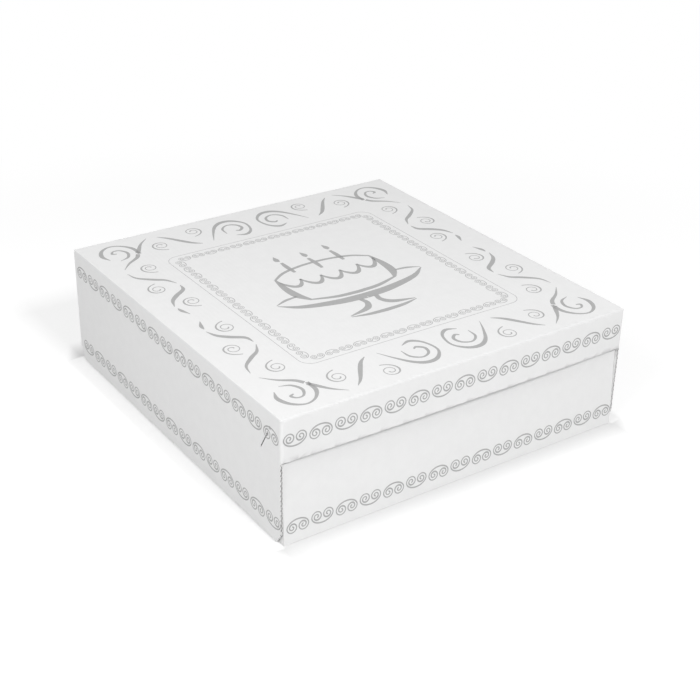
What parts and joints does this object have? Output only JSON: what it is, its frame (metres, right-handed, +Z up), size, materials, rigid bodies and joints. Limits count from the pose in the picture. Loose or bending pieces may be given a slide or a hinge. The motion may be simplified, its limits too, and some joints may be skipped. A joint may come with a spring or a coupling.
{
  "type": "cake box",
  "caption": "Square folded-board cake box: a tray with a hinged lid that has side flaps, a short front band and folded corner webs.",
  "frame": {"origin": "middle of the footprint, on the surface that the box stands on", "axes": "+Z up, -Y to the front where the lid's band hangs, +X to the right seen from the front"},
  "size_m": [0.26, 0.276, 0.085],
  "materials": {
    "tray_board": "satin white coated liner with grey print",
    "lid_board": "satin white coated liner with grey print"
  },
  "bodies": {
    "tray": {"tray": "tray_board"},
    "lid": {"lid": "lid_board"}
  },
  "joints": [
    {"name": "lid_hinge", "type": "hinge", "parent": "tray", "child": "lid", "pos_m": [0, 0.13757, 0.08457], "axis": [-1, 0, 0], "range_deg": [0, 180]}
  ]
}
